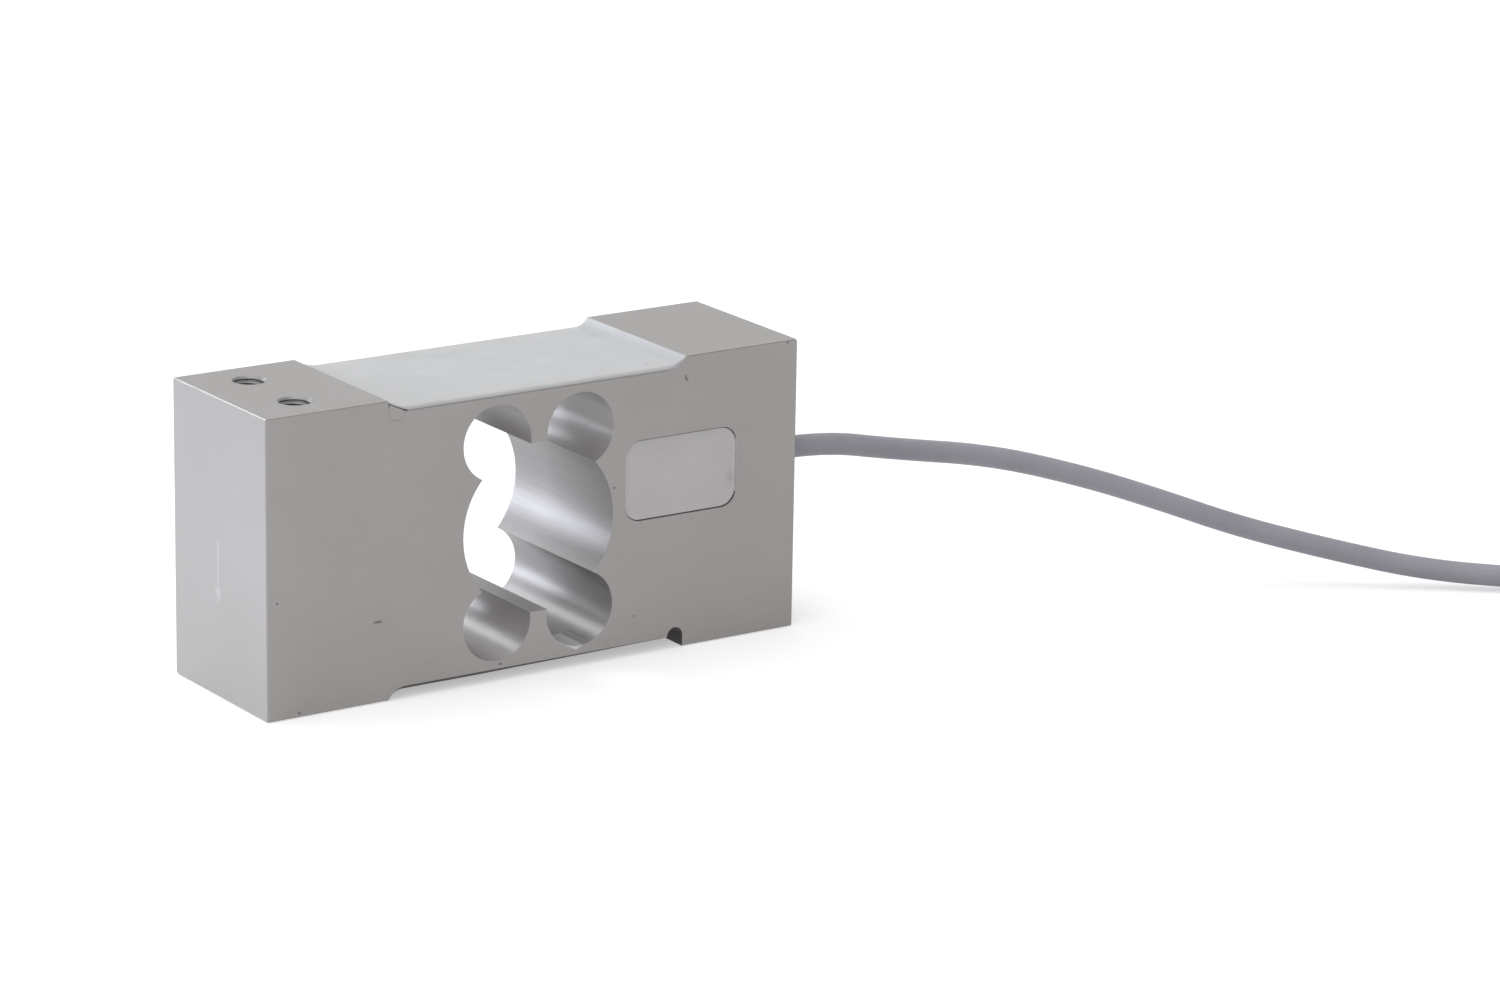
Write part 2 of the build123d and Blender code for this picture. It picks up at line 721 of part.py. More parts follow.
# Stripped cores and the screen's tail, fanned out over the coil's top, each with a tinned tip
sleeve_angle = degrees(sleeve_length / tail_radius)
lead_rest_z = coil_top_z + core_radius
lead_names = ("lead_end_red", "lead_end_black", "lead_end_shield", "lead_end_green", "lead_end_white")
fan_angles = [tail_end + sleeve_angle + angle for angle in lead_end_angles]
fan_start_radius = tail_radius - tail_drift + 1
sideways = Vector(tail_heading.Y, -tail_heading.X, 0)
tips = []
for row, name, stagger in zip((2, 1, 0, -1, -2), lead_names, lead_end_stagger):
    start = sleeve_stop + sideways * (row * lead_end_pitch)
    points = [start, start + tail_heading * lead_end_straight + sideways * (row * lead_end_spread)]
    for fan_step, angle in enumerate(fan_angles):
        fan_radius = fan_start_radius - fan_step + row * (lead_end_pitch + lead_end_fan * (fan_step + 1) / 3)
        reach = stagger if fan_step == 2 else 0
        points.append(Vector(*coil_point(angle + reach, fan_radius, lead_rest_z)))
    lead_points = [tuple(point) for point in points]
    with BuildPart() as lead_end:
        add(round_wire(lead_points, arc_radii(lead_points), core_radius))
        add(end_sleeve, mode=Mode.SUBTRACT)
    save(lead_end.part, name)
    tip_heading = (points[-1] - points[-2]).normalized()
    tips.append(straight_wire(points[-1], points[-1] + tip_heading * tip_length, tip_radius))
with BuildPart() as tinned_tips:
    for tip in tips:
        add(tip)
save(tinned_tips.part, "tinned_tips")
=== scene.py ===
"""Single point load cell: materials, sealant, threads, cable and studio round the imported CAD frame."""
from math import cos, pi, radians, sin

import bmesh
import bpy
from mathutils import Matrix, Vector, noise


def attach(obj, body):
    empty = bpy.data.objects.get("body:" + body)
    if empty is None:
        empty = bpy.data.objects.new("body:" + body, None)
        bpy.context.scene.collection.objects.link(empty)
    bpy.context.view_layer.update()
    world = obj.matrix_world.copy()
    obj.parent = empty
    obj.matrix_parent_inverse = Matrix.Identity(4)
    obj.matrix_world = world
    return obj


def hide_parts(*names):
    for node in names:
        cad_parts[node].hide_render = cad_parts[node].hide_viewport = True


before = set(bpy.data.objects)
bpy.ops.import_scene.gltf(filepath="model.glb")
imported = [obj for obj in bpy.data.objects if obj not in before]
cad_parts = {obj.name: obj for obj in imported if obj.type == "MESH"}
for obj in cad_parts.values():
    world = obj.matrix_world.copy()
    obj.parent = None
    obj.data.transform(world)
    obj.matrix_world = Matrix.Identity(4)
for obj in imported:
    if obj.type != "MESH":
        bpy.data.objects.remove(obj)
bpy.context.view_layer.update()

scene = bpy.context.scene

# camera, fitted to the photograph
camera_place = (-0.669304, -1.088402, 0.406554)
camera_right = (0.8274628, -0.5612451, 0.0175880)
camera_down = (-0.1412735, -0.2383946, -0.9608381)
camera_forward = (0.5434585, 0.7925730, -0.2765517)
camera_data = bpy.data.cameras.new("camera")
camera_data.lens = 130.468
camera_data.sensor_width = 36.0
camera_data.clip_start = 0.01
camera_data.clip_end = 50.0
camera = bpy.data.objects.new("camera", camera_data)
scene.collection.objects.link(camera)
camera_axes = Matrix((camera_right, [-v for v in camera_down], [-v for v in camera_forward])).transposed()
camera.matrix_world = Matrix.Translation(camera_place) @ camera_axes.to_4x4()
scene.camera = camera
scene.view_settings.view_transform = "Standard"

# sizes of the solids, in metres
beam_width, beam_height = 0.045, 0.074
half_width = beam_width / 2
recess_start, recess_end = -0.042, 0.0421
recess_depth = 0.00295
top_floor = beam_height - recess_depth
lobe_x, lobe_z = 0.01175, 0.0145
hole_x, hole_y = 0.0605, 0.011
pocket_x, pocket_z = 0.04095, 0.0443
pocket_length, pocket_height, pocket_corner = 0.0327, 0.0205, 0.0045
cable_radius = 0.0028
coil_x, coil_y, coil_mean_radius = 0.3164, -0.0941, 0.0334
coil_pitch = 0.00575
coil_entry_angle = 228.0
coil_base = 0.0005
coil_low = coil_base + cable_radius
coil_high = coil_low + coil_pitch
coil_top = coil_high + cable_radius
coil_outer_turn = coil_mean_radius + 1.5 * coil_pitch
coil_width = 3 * coil_pitch + 2 * cable_radius
coil_height = coil_pitch + 2 * cable_radius
sleeve_radius = 0.003
tail_z = coil_top + sleeve_radius
tail_drift = 0.0045
tail_end = 250.0
up = Vector((0, 0, 1))


def coil_point(angle, radius, z):
    """A point round the coil's axis, with its angle in degrees counted from the cable's entry."""
    around = radians(coil_entry_angle + angle)
    return (coil_x + radius * cos(around), coil_y + radius * sin(around), z)


def ease(value):
    """Smooth step from 0 to 1."""
    value = min(max(value, 0.0), 1.0)
    return value * value * (3 - 2 * value)


# cable from the beam to its coil
route = [
    (0.0750, -0.0145, 0.0440),
    (0.0884, -0.0145, 0.0440),
    (0.1101, -0.0157, 0.0393),
    (0.1362, -0.0217, 0.0354),
    (0.1581, -0.0312, 0.0292),
    (0.1758, -0.0402, 0.0227),
    (0.1941, -0.0511, 0.0153),
    (0.2135, -0.0640, 0.0096),
    (0.2344, -0.0783, 0.0044),
]
entry_heading = radians(coil_entry_angle + 90)
entry = coil_point(0, coil_outer_turn, coil_low)
for run in (0.046, 0.022):
    route.append((entry[0] - run * cos(entry_heading), entry[1] - run * sin(entry_heading), coil_low))

# cable round its coil, in degrees from the entry
full_turn = 360
ring_change = 60
first_inward, layer_change, first_outward = 300, 1320, 1620
tail_lift, tail_lift_span = 2640, 45
tail_shift, tail_shift_span = 2660, 40
tail_start, tail_span = 2700, 70
last_angle = 7 * full_turn + tail_end


def winding(angle):
    """Radius and height of the cable after it has gone that far round the coil."""
    radius = coil_outer_turn
    for step in range(3):
        radius -= coil_pitch * ease((angle - first_inward - full_turn * step) / ring_change)
        radius += coil_pitch * ease((angle - first_outward - full_turn * step) / ring_change)
    z = coil_low + (coil_high - coil_low) * ease((angle - layer_change) / ring_change)
    z += (tail_z - coil_high) * ease((angle - tail_lift) / tail_lift_span)
    radius -= coil_pitch / 2 * ease((angle - tail_shift) / tail_shift_span)
    radius -= tail_drift * min(max((angle - tail_start) / tail_span, 0.0), 1.0)
    return radius, z


# A curve runs inside its control points, so those round the coil lie a little further out.
entry_bulge = 1.052
bulge = 1 / 0.9662
first_angle, angle_step = 15, 30
angles = [first_angle + angle_step * step for step in range(90)]
angles += [tail_start, tail_start + 30, tail_start + 55, last_angle]
for angle in angles:
    radius, z = winding(angle)
    if angle == first_angle:
        radius *= entry_bulge
    elif angle != last_angle:
        radius *= bulge
    route.append(coil_point(angle, radius, z))

cable_curve = bpy.data.curves.new("cable", "CURVE")
cable_curve.dimensions = "3D"
spline = cable_curve.splines.new("NURBS")
spline.points.add(len(route) - 1)
for point, place in zip(spline.points, route):
    point.co = (*place, 1.0)
spline.order_u = 3
spline.use_endpoint_u = True
spline.resolution_u = 12
cable_curve.bevel_depth = cable_radius
cable_curve.bevel_resolution = 10
cable_curve.use_fill_caps = True
cable = bpy.data.objects.new("cable", cable_curve)
scene.collection.objects.link(cable)


# materials
def rgb(red, green, blue):
    """A display colour of 0 to 255 as the linear colour that shaders take."""
    values = []
    for channel in (red, green, blue):
        share = channel / 255
        values.append(share / 12.92 if share < 0.04045 else ((share + 0.055) / 1.055) ** 2.4)
    return (*values, 1.0)


class Nodes:
    """A small helper that adds and links a material's nodes."""

    def __init__(self, name):
        self.material = bpy.data.materials.new(name)
        self.material.use_nodes = True
        self.tree = self.material.node_tree
        self.shader = self.tree.nodes["Principled BSDF"]
        self.place = self.add("ShaderNodeTexCoord").outputs["Object"]

    def add(self, kind, **settings):
        """A new node with these settings."""
        node = self.tree.nodes.new(kind)
        for key, value in settings.items():
            setattr(node, key, value)
        return node

    def link(self, source, target):
        """A link from an output to an input."""
        self.tree.links.new(source, target)

    def feed(self, socket, value):
        """A constant set on the socket, or a link to it."""
        if isinstance(value, (tuple, float, int)):
            socket.default_value = value
        else:
            self.link(value, socket)

    def axes(self):
        """X, Y and Z of the place on the object."""
        node = self.add("ShaderNodeSeparateXYZ")
        self.link(self.place, node.inputs[0])
        return tuple(node.outputs)

    def noise(self, scale, detail=3.0, stretch=(1, 1, 1), roughness=0.5):
        """Smooth noise of 0 to 1, finer along an axis where its stretch is larger."""
        scaled = self.add("ShaderNodeMapping")
        scaled.inputs["Scale"].default_value = stretch
        self.link(self.place, scaled.inputs["Vector"])
        node = self.add("ShaderNodeTexNoise")
        node.inputs["Scale"].default_value = scale
        node.inputs["Detail"].default_value = detail
        node.inputs["Roughness"].default_value = roughness
        self.link(scaled.outputs["Vector"], node.inputs["Vector"])
        return node.outputs["Fac"]

    def ramp(self, fac, low, high, start=0.3, stop=0.7):
        """Low up to the start, high from the stop, and even between them."""
        node = self.add("ShaderNodeMapRange")
        node.inputs["From Min"].default_value = start
        node.inputs["From Max"].default_value = stop
        node.inputs["To Min"].default_value = low
        node.inputs["To Max"].default_value = high
        self.link(fac, node.inputs["Value"])
        return node.outputs["Result"]

    def math(self, operation, first, second=None):
        """The result of a calculation with one or two values."""
        node = self.add("ShaderNodeMath", operation=operation)
        self.feed(node.inputs[0], first)
        if second is not None:
            self.feed(node.inputs[1], second)
        return node.outputs["Value"]

    def mix(self, fac, first, second):
        """The first colour where the factor is 0 and the second where it is 1."""
        node = self.add("ShaderNodeMix", data_type="RGBA")
        self.link(fac, node.inputs["Factor"])
        self.feed(node.inputs[6], first)
        self.feed(node.inputs[7], second)
        return node.outputs[2]

    def tint(self, tone, mask, share, colour):
        """The tone, with a share of another colour where the mask is 1."""
        return self.mix(self.math("MULTIPLY", mask, share), tone, colour)

    def bump(self, height, strength, distance, before=None):
        """A small relief on top of the relief before it."""
        node = self.add("ShaderNodeBump")
        node.inputs["Strength"].default_value = strength
        node.inputs["Distance"].default_value = distance
        self.link(height, node.inputs["Height"])
        if before is not None:
            self.link(before, node.inputs["Normal"])
        return node.outputs["Normal"]

    def near(self, centre, radius, soft, stretch=(1, 1, 1)):
        """1 inside a small ball round a point, and 0 outside it."""
        offset = self.add("ShaderNodeVectorMath", operation="SUBTRACT")
        self.link(self.place, offset.inputs[0])
        offset.inputs[1].default_value = centre
        scaled = self.add("ShaderNodeVectorMath", operation="MULTIPLY")
        self.link(offset.outputs["Vector"], scaled.inputs[0])
        scaled.inputs[1].default_value = stretch
        length = self.add("ShaderNodeVectorMath", operation="LENGTH")
        self.link(scaled.outputs["Vector"], length.inputs[0])
        return self.ramp(length.outputs["Value"], 1.0, 0.0, radius, radius + soft)

    def inside(self, low, high):
        """1 in a box, and 0 outside it."""
        mask = None
        for along, bottom, top in zip(self.axes(), low, high):
            part = self.math("GREATER_THAN", along, bottom)
            part = self.math("MULTIPLY", part, self.math("LESS_THAN", along, top))
            mask = part if mask is None else self.math("MULTIPLY", mask, part)
        return mask

    def both_sides(self, low, high):
        """1 in a box at the front and in its mirror image at the back, and 0 elsewhere."""
        back = self.inside((low[0], -high[1], low[2]), (high[0], -low[1], high[2]))
        return self.math("MAXIMUM", self.inside(low, high), back)

    def done(self, colour, roughness, normal=None, **constants):
        """The finished material."""
        self.feed(self.shader.inputs["Base Color"], colour)
        self.feed(self.shader.inputs["Roughness"], roughness)
        if normal is not None:
            self.link(normal, self.shader.inputs["Normal"])
        for key, value in constants.items():
            self.shader.inputs[key.replace("_", " ")].default_value = value
        return self.material


def on_end_face(n, x):
    """1 on the load end's face, and 0 elsewhere."""
    return n.math("LESS_THAN", x, -0.0749)


def arrow_mask(n):
    """The load direction's faint arrow on the end face: a shaft with a head that points down."""
    arrow_y, half_shaft, head_slope = 0.0010, 0.00035, 0.42
    tip, head_top, shaft_top = 0.0230, 0.0270, 0.0390
    x, y, z = n.axes()
    across = n.math("ABSOLUTE", n.math("SUBTRACT", y, arrow_y))
    shaft = n.math("MULTIPLY", n.math("LESS_THAN", across, half_shaft), n.math("GREATER_THAN", z, head_top))
    shaft = n.math("MULTIPLY", shaft, n.math("LESS_THAN", z, shaft_top))
    head = n.math("LESS_THAN", across, n.math("MULTIPLY", n.math("SUBTRACT", z, tip), head_slope))
    head = n.math("MULTIPLY", head, n.math("LESS_THAN", z, head_top))
    return n.math("MULTIPLY", n.math("MAXIMUM", shaft, head), on_end_face(n, x))


def handling_marks(n):
    """1 on the front face's dents and specks, each with its X, Z, radius and stretch."""
    marks = None
    for x, z, radius, stretch in (
        (-0.0449, 0.0201, 0.00022, (0.24, 1.0, 1.0)),
        (-0.0722, 0.0289, 0.00024, (1, 1, 1)),
        (-0.0664, 0.0010, 0.00026, (1, 1, 1)),
        (0.0277, 0.0100, 0.00018, (1, 1, 1)),
        (-0.0107, 0.0040, 0.00022, (0.6, 1, 1)),
        (0.0420, 0.0687, 0.00018, (1.0, 1, 0.4)),
        (0.0424, 0.0680, 0.00020, (0.8, 1, 0.9)),
        (0.0720, 0.0735, 0.00018, (0.7, 1, 1)),
        (0.0215, 0.0436, 0.00014, (0.5, 1, 1)),
    ):
        spot = n.near((x, -half_width, z), radius, 0.00015, stretch)
        marks = spot if marks is None else n.math("MAXIMUM", marks, spot)
    return marks


def gouge_highlight_mask(n):
    """A gouge at the front of a lower lobe: the lobe's floor, and a notch in the front face under it; its
    cut face gets a painted highlight.
    """
    notch_x, notch_z, notch_slope = 0.0110, 0.0040, 0.55
    x, _, z = n.axes()
    aside = n.math("ABSOLUTE", n.math("SUBTRACT", x, notch_x))
    over = n.math("SUBTRACT", n.math("SUBTRACT", z, notch_z), n.math("MULTIPLY", aside, notch_slope))
    box = n.inside((0.0062, -0.0226, 0.0035), (0.0150, -0.0120, 0.0078))
    return n.math("MULTIPLY", n.math("GREATER_THAN", over, 0.0), box)


def bore_tone(n, lines):
    """The cut-out's walls: streaked, with painted shade darker towards the front and a painted highlight
    that lightens three of the lobes.
    """
    _, y, _ = n.axes()
    tone = n.mix(n.ramp(lines, 0.0, 0.6), rgb(161, 157, 156), rgb(147, 143, 142))
    # painted shade: the walls darker towards the front face
    tone = n.mix(n.ramp(y, 0.50, 0.0, -half_width, 0.0080), tone, rgb(104, 101, 101))
    # painted highlight: three of the lobes lighter
    for side, z in ((-lobe_x, lobe_z), (-lobe_x, beam_height - lobe_z), (lobe_x, beam_height - lobe_z)):
        lobe = n.near((side, 0.0, z), 0.0099, 0.0001, (1, 0, 1))
        tone = n.tint(tone, lobe, 0.30, rgb(206, 202, 201))
    return tone


def edge_tones(n, tone):
    """The tone with a dark line along the top edges, painted shade along the sealant's seam and in the
    lower slot, and a painted highlight on the pocket's right wall.
    """
    rim = n.both_sides((-0.08, -0.023, 0.07378), (0.08, -0.02228, 0.075))
    tone = n.tint(tone, rim, 0.55, rgb(104, 92, 88))
    # painted shade: a dark line along the seam under the top sealant
    seam_shade = n.both_sides((-0.0372, -0.023, 0.07088), (0.0365, -0.02244, 0.0711))
    tone = n.tint(tone, seam_shade, 0.5, rgb(104, 96, 92))
    # painted highlight: the pocket's right wall lighter, as if lit from the left
    lit_pocket_wall = n.inside((0.0570, -0.02249, 0.0375), (0.0575, -0.0217, 0.0512))
    tone = n.tint(tone, lit_pocket_wall, 0.9, rgb(236, 234, 244))
    # painted shade: the inside of the lower slot darkened
    shaded_lower_slot = n.inside((0.0372, -0.02244, -0.001), (0.0423, 0.02244, 0.0056))
    return n.tint(tone, shaded_lower_slot, 0.85, rgb(44, 40, 39))


def aluminium():
    """Milled and tumbled aluminium: fine lengthwise grain, cloudy tone and the marks of handling, with
    painted shade and painted highlights on some faces and in the cut-out.
    """
    n = Nodes("aluminium")
    x, _, z = n.axes()
    grain = n.noise(1.0, 4.0, (110, 2400, 2400), 0.6)
    fine = n.noise(5200.0, 2.0)
    cloud = n.noise(22.0, 3.0)
    lines = n.noise(1.0, 3.0, (1500, 40, 1500), 0.5)
    bore = n.inside((-0.0222, -0.02246, 0.0035), (0.0222, 0.02246, 0.0705))
    tone = n.mix(n.ramp(cloud, 0.0, 1.0), rgb(152, 149, 147), rgb(158, 155, 154))
    tone = n.mix(n.ramp(grain, 0.0, 0.10), tone, rgb(136, 133, 131))
    # painted shade: the front face darker towards its lower right, where less light falls
    painted_low_right_shade = n.math("MULTIPLY", n.ramp(x, 0.0, 1.0, -0.01, 0.06), n.ramp(z, 1.0, 0.0, 0.0, 0.06))
    tone = n.tint(tone, painted_low_right_shade, 0.26, rgb(112, 107, 104))
    # painted shade: the load end's face darker towards its top
    painted_end_top_shade = n.math("MULTIPLY", on_end_face(n, x), n.ramp(z, 0.0, 0.24, 0.036, beam_height))
    tone = n.mix(painted_end_top_shade, tone, rgb(104, 101, 100))
    tone = n.mix(bore, tone, bore_tone(n, lines))
    marks = handling_marks(n)
    tone = n.tint(tone, marks, 0.62, rgb(62, 56, 56))
    tone = n.tint(tone, arrow_mask(n), 0.16, rgb(214, 214, 218))
    # real wear drawn only as colour: the gouge painted lighter, a painted highlight on its cut face
    tone = n.tint(tone, gouge_highlight_mask(n), 0.85, rgb(196, 194, 196))
    # painted shade: a dark line in the groove at the gouge's edge
    groove = n.inside((0.0150, -0.0205, 0.0035), (0.0155, -0.0120, 0.0078))
    tone = n.tint(tone, groove, 0.5, rgb(96, 93, 95))
    scratch = n.near((-0.0592, -0.0184, beam_height), 0.00006, 0.0001, (1.0, 0.022, 1.0))
    tone = n.tint(tone, scratch, 0.35, rgb(214, 213, 214))
    tone = edge_tones(n, tone)
    even = n.math("ADD", n.math("MULTIPLY", grain, 0.5), n.math("MULTIPLY", fine, 0.5))
    roughness = n.ramp(even, 0.36, 0.46)
    n.link(n.math("MULTIPLY", bore, 0.10), n.shader.inputs["Coat Weight"])
    n.link(n.ramp(bore, 0.85, 0.28, 0.0, 1.0), n.shader.inputs["Metallic"])
    outside = n.math("SUBTRACT", 1.0, bore)
    normal = n.bump(n.math("MULTIPLY", grain, outside), 0.06, 0.00004)
    normal = n.bump(fine, 0.06, 0.00003, normal)
    normal = n.bump(n.math("MULTIPLY", lines, bore), 0.12, 0.00005, normal)
    normal = n.bump(n.math("SUBTRACT", 1.0, marks), 0.5, 0.0001, normal)
    return n.done(tone, roughness, normal, Coat_Roughness=0.2)


def silicone(name, colour, dark, bump_distance=0.00012, foot=None, hollow=None):
    """Soft, satin compound; if wanted with painted shade on a dark foot up to a height and on its slope at
    the cable end, or a painted shade ring round a hollow.
    """
    n = Nodes(name)
    cloud = n.noise(55.0, 3.0)
    dimple = n.noise(170.0, 2.0)
    dust = n.noise(900.0, 2.0)
    tone = n.mix(n.ramp(cloud, 0.0, 1.0), colour, dark)
    tone = n.mix(n.ramp(dust, 0.0, 0.35, 0.72, 0.82), tone, rgb(160, 157, 155))
    speck = n.near((0.0336, -0.0179, 0.0721), 0.00025, 0.0002, (0.5, 1.0, 0.3))
    tone = n.tint(tone, speck, 0.45, rgb(120, 117, 118))
    smudge = n.near((0.0558, -0.0220, 0.0414), 0.0003, 0.0012, (1.0, 1.0, 0.6))
    tone = n.tint(tone, smudge, 0.35, rgb(150, 148, 148))
    if foot is not None:
        x, _, z = n.axes()
        # painted shade: the foot under the lip darker, where it lies in shadow
        tone = n.mix(n.ramp(z, 0.55, 0.0, foot, foot + 0.00012), tone, rgb(112, 105, 102))
        # painted shade: the slope at the cable end greyer
        tone = n.mix(n.ramp(x, 0.0, 0.55, 0.0370, 0.0400), tone, rgb(158, 158, 161))
    if hollow is not None:
        centre, radius = hollow
        shade = n.near(centre, radius, 0.00035, (1, 0, 1))
        # painted shade: a dark ring round the hollow's rim
        tone = n.tint(tone, n.math("SUBTRACT", 1.0, shade), 0.6, rgb(96, 90, 88))
    normal = n.bump(dimple, 0.25, bump_distance)
    return n.done(tone, n.ramp(dimple, 0.42, 0.58), normal, Specular_IOR_Level=0.4)


def plastic(name, colour, roughness=0.42, grain_scale=900.0, strength=0.12, metallic=0.0):
    """Moulded plastic or drawn metal with a fine surface and a little change of tone."""
    n = Nodes(name)
    grain = n.noise(grain_scale, 3.0)
    cloud = n.noise(60.0, 2.0)
    darker = tuple(channel * 0.86 for channel in colour[:3]) + (1.0,)
    tone = n.mix(n.ramp(cloud, 0.0, 1.0), colour, darker)
    normal = n.bump(grain, strength, 0.00004)
    return n.done(tone, n.ramp(grain, roughness - 0.06, roughness + 0.08), normal, Metallic=metallic)


white_silicone = silicone("white_silicone", rgb(192, 192, 192), rgb(187, 187, 187), foot=0.07122)
# painted shade: the bottom sealant, hanging in shadow under the beam, coloured dark
shaded_under_silicone = silicone("underside_silicone_painted_shade", rgb(86, 81, 79), rgb(72, 68, 66))
potting = silicone("pocket_compound", rgb(199, 196, 195), rgb(192, 189, 188))
# painted shade: a dark line round the pocket's edge, where the compound meets the wall
pocket_edge_shade = silicone("pocket_edge_shade_line", rgb(92, 88, 88), rgb(82, 78, 78))
filler_hollow = ((-0.03975, 0.0, 0.07125), 0.0021)
filler = silicone("slot_filler", rgb(178, 174, 172), rgb(170, 166, 164), 0.00008, hollow=filler_hollow)
jacket = plastic("cable_jacket", rgb(151, 149, 157), 0.46, 1500.0, 0.15)
thread_metal = plastic("cut_thread", rgb(136, 134, 134), 0.46, 3000.0, 0.1, 0.85)

palette = {
    "beam_body": aluminium(),
    "top_sealant": white_silicone,
    "bottom_sealant": shaded_under_silicone,
    "pocket_potting": potting,
    "groove_filler": filler,
    "cable_run": jacket,
    "cable_coil": jacket,
    "cable_inner_end": jacket,
    "cable_seal": silicone("exit_seal", rgb(112, 109, 110), rgb(98, 95, 96)),
    "wiring_board": plastic("laminate", rgb(34, 82, 50)),
    "board_adhesive": plastic("adhesive", rgb(200, 196, 186), 0.7),
    "board_solder_joints": plastic("solder", rgb(190, 190, 192), 0.25, 700.0, 0.2, 1.0),
    "tinned_tips": plastic("tinned_strands", rgb(196, 194, 190), 0.3, 2200.0, 0.4, 1.0),
    "temperature_resistors": plastic("resistor_coating", rgb(60, 110, 140), 0.35),
    "trim_resistors": plastic("chip_resistor", rgb(40, 40, 42), 0.3),
    "shield_drain": plastic("drain_strand", rgb(188, 184, 178), 0.3, 2200.0, 0.4, 1.0),
    "lead_end_shield": plastic("drain_sleeving", rgb(205, 176, 52), 0.38),
    "end_sleeve": plastic("shrunk_sleeve", rgb(30, 30, 32), 0.38, 700.0, 0.25),
    "coil_ties": plastic("tie_coating", rgb(34, 34, 36), 0.4, 800.0, 0.2),
}
for level in ("top", "bottom"):
    for kind, colour, settings in (
        ("terminal_strip", rgb(176, 140, 70), (0.4,)),
        ("jumper_wires", rgb(184, 115, 80), (0.35, 900.0, 0.1, 1.0)),
        ("lead_wires", rgb(190, 60, 40), ()),
    ):
        palette[f"{kind}_{level}"] = plastic(f"{kind}_{level}", colour, *settings)
    for end in ("load_side", "cable_side"):
        palette[f"gauge_{level}_{end}"] = plastic(f"gauge_{level}_{end}", rgb(196, 150, 80), 0.35)
for colour_name, colour in (
    ("red", rgb(186, 34, 32)),
    ("black", rgb(28, 28, 30)),
    ("green", rgb(34, 128, 62)),
    ("white", rgb(226, 226, 224)),
):
    insulation = plastic("insulation_" + colour_name, colour, 0.33)
    palette["core_" + colour_name] = insulation
    palette["lead_end_" + colour_name] = insulation
for name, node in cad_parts.items():
    node.data.materials.clear()
    node.data.materials.append(palette[name])


# mesh pieces
def piece(name, mesh, material, nodes=()):
    """A finished mesh as a piece that rides on the beam and stands for its CAD nodes."""
    mesh.materials.append(material)
    made = bpy.data.objects.new(name, mesh)
    scene.collection.objects.link(made)
    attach(made, "root")
    if nodes:
        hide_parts(*nodes)
    return made


def join_rings(mesh, rings):
    """Faces between each ring of vertices and the next."""
    count = len(rings[0])
    for before, after in zip(rings, rings[1:]):
        for k in range(count):
            mesh.faces.new((before[k], before[(k + 1) % count], after[(k + 1) % count], after[k]))


def add_skin(mesh, rings):
    """A skin over equal rings of points, closed at both ends."""
    rows = [[mesh.verts.new(point) for point in ring] for ring in rings]
    join_rings(mesh, rows)
    mesh.faces.new(list(reversed(rows[0])))
    mesh.faces.new(rows[-1])


def finished(name, mesh):
    """The mesh as data, shaded smooth but for its ends."""
    bmesh.ops.recalc_face_normals(mesh, faces=mesh.faces)
    for face in mesh.faces:
        face.smooth = len(face.verts) == 4
    data = bpy.data.meshes.new(name)
    mesh.to_mesh(data)
    mesh.free()
    return data


def skin_mesh(name, rings):
    """One closed skin over equal rings of points."""
    mesh = bmesh.new()
    add_skin(mesh, rings)
    return finished(name, mesh)


def rounded_loop(half_length, half_height, corner, count):
    """A rounded rectangle round a middle, as pairs of coordinates."""
    loop = []
    for quarter, (side_x, side_y) in enumerate(((1, 1), (-1, 1), (-1, -1), (1, -1))):
        for step in range(count + 1):
            turn = pi / 2 * (quarter + step / count)
            across = side_x * (half_length - corner) + corner * cos(turn)
            loop.append((across, side_y * (half_height - corner) + corner * sin(turn)))
    return loop


def wavy(x, y, size, scale, seed):
    """A small smooth unevenness."""
    return size * noise.noise(Vector((x * scale, y * scale, seed)))


# sealant over the gauges
run_out_start, run_out_radius = 0.0372, 0.0055445
filler_reach, filler_rise = 0.0045, 0.0022
top_thickness = 0.0010
load_meniscus, load_meniscus_radius = -0.0358, 0.011314
front_meniscus, back_meniscus = 0.0362, 0.0384
foot_lift_start, foot_lift_span, foot_inset = -0.0362, 0.0012, 0.0006
under_level = 0.00175
under_meniscus, under_meniscus_radius = -0.0397, 0.0024
across_steps = 24


def arc_rise(along, radius):
    """Height gained by a round curve that leaves the level, after going that far."""
    along = max(along, 0.0)
    return radius - (radius * radius - along * along) ** 0.5 if along < radius else radius


def rounded_edge(x, edge, level, way, steps):
    """A section's front edge, from the side to the surface; way is 1 over the beam and -1 under it."""
    ring = []
    for step in range(steps + 1):
        turn = pi / 2 * step / steps
        ring.append((x, edge * (1 - cos(turn)) - half_width, level - way * edge * (1 - sin(turn))))
    return ring


def mirrored(points):
    """The same points at the back face, in the other order."""
    return [(x, -y, z) for x, y, z in reversed(points)]


def places_across(edge):
    """Places across the beam between a section's two rounded edges."""
    flat = beam_width - 2 * edge
    return [edge - half_width + flat * step / across_steps for step in range(1, across_steps)]


def stations(start, stop, fine, coarse, ends):
    """Places along a length, close together near both ends."""
    places, x = [], start
    while x < stop - 1e-6:
        places.append(x)
        x += fine if x < start + ends or x > stop - ends else coarse
    return places + [stop]


def floor_under(x):
    """The surface under the top sealant: the filler's slope, the recess's floor and its run-out."""
    if x < recess_start + filler_reach:
        return top_floor + filler_rise * (1 - (x - recess_start) / filler_reach)
    return top_floor + arc_rise(x - run_out_start, run_out_radius)


def sealant_top(x, y):
    """The top sealant's surface, with a meniscus up to each pad, shorter at the back of the cable end."""
    start = front_meniscus + (back_meniscus - front_meniscus) * (y + half_width) / beam_width
    rise = recess_depth - top_thickness
    radius = ((recess_end - start) ** 2 + rise ** 2) / (2 * rise)
    level = top_floor + top_thickness
    return level + arc_rise(load_meniscus - x, load_meniscus_radius) + arc_rise(x - start, radius)


